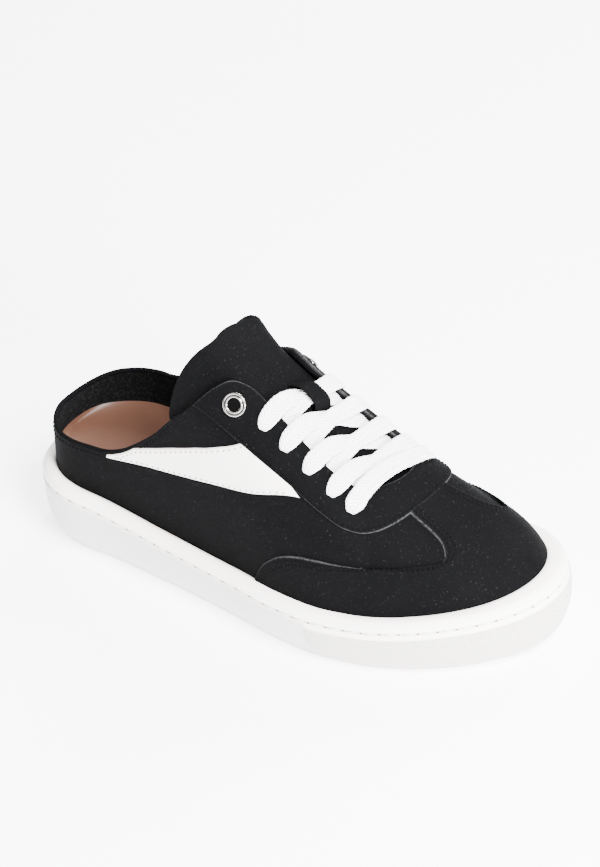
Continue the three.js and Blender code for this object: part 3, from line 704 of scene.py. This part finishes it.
def upper_relief(around, up):
    """Soft dents and flex creases of the worn-in leather, in millimetres."""
    side = np.sign(around)
    flex = -0.45 * np.exp(-(((np.abs(around) - 0.335 - 0.10 * (up - 0.5)) / 0.012) ** 2))
    flex *= np.clip((0.62 - up) / 0.3, 0, 1)
    flex *= np.clip((up - 0.12) / 0.2, 0, 1)
    quarter = -0.5 * np.exp(-(((np.abs(around) - 0.57) / 0.05) ** 2) - ((up - 0.2) / 0.1) ** 2)
    wave = 0.25 * np.sin(around * 23 + side) * np.sin(up * 9 + 1.0) * np.clip(np.abs(around) * 2.2 - 0.4, 0, 1)
    return flex + quarter + wave * np.clip(up * 4, 0, 1) * np.clip((0.95 - up) * 6, 0, 1)


def edge_lift(around):
    """Millimetres on the last for one unit of up, at the edge of the opening."""
    edge = opening(around)
    step = 2e-3
    return np.linalg.norm(last(around, edge, 0) - last(around, edge - step, 0), axis=-1) / step


def collar_roll():
    """Rounded edge between the outside and the lining."""
    loop = AROUND[np.abs(AROUND) >= 0.35]
    loop = np.concatenate([[0.35], loop[loop > 0.35], loop[loop < -0.35], [-0.35]])

    def place(u, v):
        around = loop[np.rint(u * (len(loop) - 1)).astype(int)]
        edge, lift = opening(around), edge_lift(around)
        angle = v * np.pi
        rise = np.sin(angle) * (UPPER_WALL / 2 + ROLL_SWELL)
        off = -UPPER_WALL / 2 + np.cos(angle) * (UPPER_WALL / 2 + ROLL_SWELL * np.sin(angle))
        up = np.minimum(edge - ROLL / lift + rise / lift, 1)
        return last(around, up, off + upper_relief(around, edge - 0.02) * (1 - v))

    return grid(len(loop) - 1, 10, place, weld=False)


def roll_gap(around):
    """The rolled edge's reach below the opening, in up."""
    return ROLL / edge_lift(around)


def upper_side(off, rows, relief):
    def place(u, v):
        around = AROUND[np.rint(u * (len(AROUND) - 1)).astype(int)]
        top = np.where(np.abs(around) < 0.35, 1.0, opening(around) - roll_gap(around))
        up = top * (1 - (1 - v) ** 1.15)
        return last(around, np.clip(up, 0, 1), off + relief * upper_relief(around, up))

    return grid(len(AROUND) - 1, rows, place, weld=False)


outside = make("upper_outside", join([upper_side(0.0, 46, 1.0), collar_roll()]), nubuck)
make("upper_lining", join([upper_side(-UPPER_WALL, 30, 0.0)]), lining)
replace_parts(outside, "upper")

for side, name in ((-1, "lateral"), (1, "medial")):
    run = np.linspace(0.572, 1.0, 160)
    below = opening(run) - roll_gap(run) * 3.2 / ROLL
    stitches(f"collar_stitches_{name}", np.stack([run, (1 - below) * side], -1), 0.05, black_thread, pitch=2.6, long=1.8,
             thick=0.7)


# Insole: dished footbed, its edge a little raised
def insole_place(u, v):
    around = 1 - u
    at = share(around)
    left, right = last(-around, 0.1, -UPPER_WALL - 0.1), last(around, 0.1, -UPPER_WALL - 0.1)
    spot = left + (right - left) * v[:, None]
    across = np.abs(2 * v - 1)
    heel_dish = 0.6 * np.exp(-(((at - 0.12) / 0.08) ** 2)) * (1 - across**2)
    spot[:, 2] = bed(at) + 2.6 * across**4 + 1.5 * np.exp(-((at / 0.05) ** 2)) - heel_dish
    return spot


insole = make("insole_form", grid(150, 40, insole_place, weld=False), footbed_leather)
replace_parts(insole, "insole")


# Tongue: padded slab, its rim rounded, rising above the facing. Its sides bend back, and lean moves its end a
# little further back on the ridge than beside it.
def tongue_place(u, v):
    rows = (len(TONGUE) - 1) * np.clip(v, 0, 1)
    table = [(i, *row) for i, row in enumerate(TONGUE)]
    around, bow, side = (smooth(table, k)(rows) for k in (1, 2, 3))
    angle = u * 2 * np.pi
    cos, sin = np.cos(angle), np.sin(angle)
    across = np.sign(cos) * np.abs(cos) ** 0.75
    thick = np.sign(sin) * np.abs(sin) ** 0.6
    end = np.sqrt(1 - (1 - np.clip((1 - v) / 0.06, 0, 1)) ** 2)
    pad = 1 + 0.9 * np.clip((v - 0.55) / 0.2, 0, 1) * np.clip(1 - across**4, 0, 1)
    middle = -UPPER_WALL - GAP - TONGUE_DEPTH / 2 - 0.3
    off = middle + thick * TONGUE_DEPTH / 2 * end * pad + TONGUE_LIFT * ease(0.7, 0.95, v)
    lean = 0.001 * np.exp(-(((across + 0.45) / 0.3) ** 2)) + 0.0035 * np.exp(-(((across - 0.02) / 0.26) ** 2))
    lean = (lean - 0.001 * ease(-0.5, 0.3, across)) * ease(0.5, 0.8, v)
    return over(around + lean + bow * ease(0.44, 1.12, np.abs(across)), across * (1 - side), off)


tongue = make("tongue_form", grid(72, 120, tongue_place), nubuck)
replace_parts(tongue, "tongue")

# Facing: the U round the throat, lying on the upper
facing_low = both_sides(curve(FACING, 110))
facing_high = both_sides(curve([p for p in OPENING if p[0] <= 0.56] + [(0.562, 0.42)], 110))
facing_high = facing_high + np.stack([np.zeros(len(facing_high)), np.sign(facing_high[:, 1]) * 0.004], -1)
facing, facing_follow = overlay("facing_form", facing_low, facing_high, nubuck)
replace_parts(facing, "facing")
stitches("facing_stitches", facing_follow(2.0)[6:-6], OVERLAY_TOP, black_thread, pitch=2.4, long=1.7, thick=0.7)

# Toe guard: round the toe, a wing on each side and a strip up to the facing
window = curve(WINDOW, 120)
window = np.stack([window[:, 0], 1 - window[:, 1]], -1)
corner = np.linspace(0, 1, 60)
spine = np.concatenate([
    np.stack([0.492 * (1 - corner) ** 0.8, np.ones(60)], -1)[:50],
    np.stack([np.zeros(16), np.linspace(0.96, 0.04, 16)], -1),
    np.stack([np.linspace(0, 0.325, 54), np.zeros(54)], -1),
])
for side, name in ((-1, "lateral"), (1, "medial")):
    guard, follow = overlay(f"toe_guard_{name}", spine * [1, side], window * [1, side], nubuck, top=GUARD_TOP,
                            round_low=False)
    if side > 0:
        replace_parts(guard, "toe_guard")
    for row, distance in enumerate((2.2, 4.4)):
        stitches(f"toe_stitches_{name}_{row}", follow(distance, from_high=True)[3:-2], GUARD_TOP, black_thread, pitch=2.2,
                 long=1.5, thick=0.7)

# Side bands: plain straight white leather, one each side
for side, name in ((-1, "lateral"), (1, "medial")):
    low, high = (line[line[:, 0] <= BAND_END[side]] for line in (curve(BAND_LOW, 120), curve(BAND_HIGH, 120)))
    count = min(len(low), len(high))
    edges = []
    for line in (low, high):
        line = line[np.linspace(0, len(line) - 1, count).astype(int)]
        around, up = straightened(side * line[:, 0], line[:, 1])
        up = np.minimum(up, opening(around) - roll_gap(around) * 1.2)
        edges.append(np.stack([np.abs(around), (1 - up) * side], -1))
    low, high = edges
    band, follow = overlay(f"band_{name}", low, high, band_leather, top=BAND_TOP)
    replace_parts(band, f"side_band_{name}")
    for row, line in enumerate((follow(1.7), follow(1.7, from_high=True))):
        stitches(f"band_holes_{name}_{row}", line[4:-4], 1.12, hole_shade, pitch=3.4, long=1.0, thick=0.9)


# Laces: a bar in front, then two flat straps over each other between one pair of holes and the next.
# Their ends turn down into the holes in the facing.
def strap(name, spots, half, material, thick=LACE_DEPTH, normals=None):
    """Flat strap along a smooth line, rounded at both edges."""
    spots = np.asarray(spots, float)
    run = np.concatenate([[0], np.cumsum(np.linalg.norm(np.diff(spots, axis=0), axis=1))])
    count = max(20, int(run[-1] / 0.7))
    fine = np.linspace(0, run[-1], count + 1)

    def even(values):
        rows = [(r, *np.atleast_1d(value)) for r, value in zip(run, values)]
        return np.stack([smooth(rows, k)(fine) for k in range(1, len(rows[0]))], -1)

    line, out, wide = even(spots), unit(even(normals)), even(np.asarray(half, float))[:, 0]
    along = unit(np.gradient(line, axis=0))
    across = unit(np.cross(out, along))
    out = np.cross(along, across)
    fray = np.random.default_rng(len(name) + int(abs(line[0, 0]) * 10)).normal(0, 0.09, (count + 1, 28))

    def place(u, v):
        i, j = np.rint(v * count).astype(int), np.rint(u * 28).astype(int) % 28
        angle = u * 2 * np.pi
        cos, sin = np.cos(angle), np.sin(angle)
        x = np.sign(cos) * np.abs(cos) ** 0.8 * (wide[i] + fray[i, j] * np.abs(cos) ** 3)
        z = np.sign(sin) * np.abs(sin) ** 0.7 * thick / 2 * (1 - 0.18 * np.cos(2 * angle) ** 2)
        return line[i] + across[i] * x[:, None] + out[i] * z[:, None]

    mesh = grid(28, count, place, run=lambda u, v: v * run[-1], across=lambda u, v: np.cos(u * 2 * np.pi) * 4)
    return make(name, mesh, material)


def lace_spots(begin, end, table):
    """Line over the throat from one (around, side) to another. Rows: share of the way, height, half width."""
    way = np.array([row[0] for row in table])
    around = begin[0] + (end[0] - begin[0]) * way
    side = begin[1] + (end[1] - begin[1]) * way
    height = np.array([row[1] for row in table])
    return over(around, side, height), over_normal(around, side), [row[2] for row in table]


UNDER = [(-0.04, -2.6, 3.6), (0.05, -1.9, 3.9), (0.2, -1.5, 4.0), (0.37, -1.4, 3.7), (0.5, -1.1, 3.8), (0.62, 0.5, 4.0),
         (0.74, 2.0, 4.2), (0.84, 2.75, 4.3), (0.93, 2.6, 4.0), (0.985, 1.9, 2.6), (1.005, 0.4, 1.6), (1.01, -2.0, 1.4)]
OVER = [(-0.04, -2.6, 3.6), (0.05, -1.9, 3.9), (0.15, -1.4, 4.0), (0.26, -0.5, 3.9), (0.37, 0.2, 3.7), (0.5, 0.4, 3.9),
        (0.62, 1.2, 4.1), (0.74, 2.2, 4.2), (0.84, 2.75, 4.3), (0.93, 2.6, 4.0), (0.985, 1.9, 2.6), (1.005, 0.4, 1.6),
        (1.01, -2.0, 1.4)]
BAR = [(-0.005, -2.0, 1.4), (0.0, 0.4, 1.6), (0.012, 1.9, 2.6), (0.04, 2.7, 3.9), (0.12, 2.9, 4.2), (0.3, 2.5, 4.2),
       (0.5, 2.5, 4.1), (0.7, 2.5, 4.2), (0.88, 2.9, 4.2), (0.96, 2.7, 3.9), (0.988, 1.9, 2.6), (1.0, 0.4, 1.6),
       (1.005, -2.0, 1.4)]
holes = [(around, 1 - up) for around, up in LACE_HOLES]
spots, normals, half = lace_spots((holes[0][0], -holes[0][1]), holes[0], BAR)
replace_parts(strap("lace_bar_form", spots, half, cotton, normals=normals), "lace_bar")
for k in range(4):
    for side, table in ((-1, UNDER), (1, OVER)):
        begin = (holes[k][0] + 0.008, -side * 0.29)
        end = (holes[k + 1][0], side * holes[k + 1][1])
        spots, normals, half = lace_spots(begin, end, table)
        piece = strap(f"lace_{k + 1}_{'over' if side > 0 else 'under'}", spots, half, cotton, normals=normals)
        if side > 0:
            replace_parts(piece, f"lace_crossing_{k + 1}")

# Keeper: bridge of leather on the tongue, over the last crossing
KEEPER = [(0.4449, -2.6), (0.4464, -1.9), (0.4484, -0.6), (0.4509, 1.2), (0.4544, 2.5), (0.4600, 3.0), (0.4680, 3.0),
          (0.4725, 2.3), (0.4755, 0.9), (0.4780, -0.8), (0.4800, -2.0), (0.4815, -2.7)]
places, heights = np.array(KEEPER).T
spots = over(places, np.zeros(len(places)), heights)
crosswise = unit(over(places, np.full(len(places), 0.06), heights) - over(places, np.full(len(places), -0.06), heights))
outwards = unit(np.cross(np.gradient(spots, axis=0), crosswise))
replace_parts(strap("keeper_form", spots, [4.3] * len(KEEPER), nubuck, thick=KEEPER_DEPTH, normals=outwards), "lace_keeper")


# Rings at the top of the facing. The shoe isn't laced through them; a dark floor inside each, painted shade, stands for
# its hole, and the groove between the ring's ridges is painted with the same shade.
def ring(name, side):
    around, up = EYELET
    middle = last(side * around, up, OVERLAY_TOP)
    normal = last_normal(np.array(side * around), np.array(up))
    turn = Vector((0, 0, 1)).rotation_difference(Vector(normal)).to_matrix().to_4x4()
    profile = [(0.1, 0.15), (2.9, 0.15), (3.0, 0.2), (3.05, 0.5), (3.35, 0.95), (3.8, 1.0), (4.1, 0.6), (4.4, 0.5),
               (4.8, 0.75), (5.15, 0.7), (5.45, 0.3), (5.5, -0.2)]

    def place(u, v):
        rows = v * (len(profile) - 1)
        radius = np.interp(rows, range(len(profile)), [p[0] for p in profile])
        height = np.interp(rows, range(len(profile)), [p[1] for p in profile])
        angle = u * 2 * np.pi
        return np.stack([radius * np.cos(angle), radius * np.sin(angle), height], -1)

    mesh = grid(48, 24, place)
    mesh.transform(Matrix.Translation(Vector(middle) * MM) @ turn)
    obj = make(name, mesh, nickel)
    obj.data.materials.append(ring_shade)
    for face in obj.data.polygons:
        middle_of_face = Vector(face.center) - Vector(middle) * MM
        reach = (middle_of_face - middle_of_face.dot(Vector(normal)) * Vector(normal)).length / MM
        # Painted shade: the hole's floor and the groove between the ridges.
        if reach < 3.0 or 4.05 < reach < 4.5:
            face.material_index = 1
    return obj


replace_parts(ring("ring_lateral", -1), "eyelet_lateral")
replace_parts(ring("ring_medial", 1), "eyelet_medial")

# Stitches in the sole's groove, long and flat
around = np.interp(np.linspace(0, 1, 900), np.linspace(0, 1, len(sole_around)), sole_around)
groove = wall_point(around, np.full(900, GROOVE_ROW))
inner = wall_point(around, np.full(900, GROOVE_ROW), shift=2.0)
outwards = unit(groove - inner)
thread("sole_stitches", groove, outwards, white_thread, pitch=SOLE_STITCH_PITCH, long=5.2, thick=1.1, lift=0.25)
thread("sole_stitch_holes", groove, outwards, hole_shade, pitch=SOLE_STITCH_PITCH, long=1.5, thick=0.9, lift=0.1,
       start=SOLE_STITCH_PITCH)

# Camera, light and ground
camera_data = bpy.data.cameras.new("camera")
camera_data.lens = 164.3
camera_data.sensor_width = 36
camera_data.clip_end = 20
camera = bpy.data.objects.new("camera", camera_data)
bpy.context.scene.collection.objects.link(camera)
bpy.context.scene.camera = camera
position = Vector((929.8, -1100.9, 1058.5)) * MM
aim = Vector((-10.4, 25.5, 57.5)) * MM
turn = (aim - position).to_track_quat("-Z", "Y").to_matrix().to_4x4()
camera.matrix_world = Matrix.Translation(position) @ turn @ Matrix.Rotation(math.radians(-7.544), 4, "Z")


def lamp(name, place, target, power, wide):
    data = bpy.data.lights.new(name, "AREA")
    data.energy, data.size = power, wide
    obj = bpy.data.objects.new(name, data)
    bpy.context.scene.collection.objects.link(obj)
    direction = Vector(target) - Vector(place)
    obj.matrix_world = Matrix.Translation(Vector(place)) @ direction.to_track_quat("-Z", "Y").to_matrix().to_4x4()


lamp("key", (0.95, -0.30, 1.2), (0, 0, 0.05), 140, 0.7)
lamp("toe", (1.5, -0.75, 0.55), (0.09, 0, 0.03), 110, 0.5)
lamp("back", (-0.2, 1.3, 1.1), (0, 0, 0.08), 52, 0.7)

world = bpy.data.worlds.new("world")
bpy.context.scene.world = world
world.use_nodes = True
world.node_tree.nodes["Background"].inputs["Color"].default_value = (0.96, 0.97, 1.0, 1)
world.node_tree.nodes["Background"].inputs["Strength"].default_value = 1.3

floor_mesh = bpy.data.meshes.new("floor")
bm = bmesh.new()
bmesh.ops.create_grid(bm, x_segments=1, y_segments=1, size=6)
bm.to_mesh(floor_mesh)
bm.free()
floor = bpy.data.objects.new("floor", floor_mesh)
bpy.context.scene.collection.objects.link(floor)
floor_paint = Paint("floor", (0.90, 0.91, 0.93), 0.9, Specular_IOR_Level=0.1, Emission_Color=(0.97, 0.975, 1.0, 1),
                    Emission_Strength=2.8)
floor_mesh.materials.append(floor_paint.material)
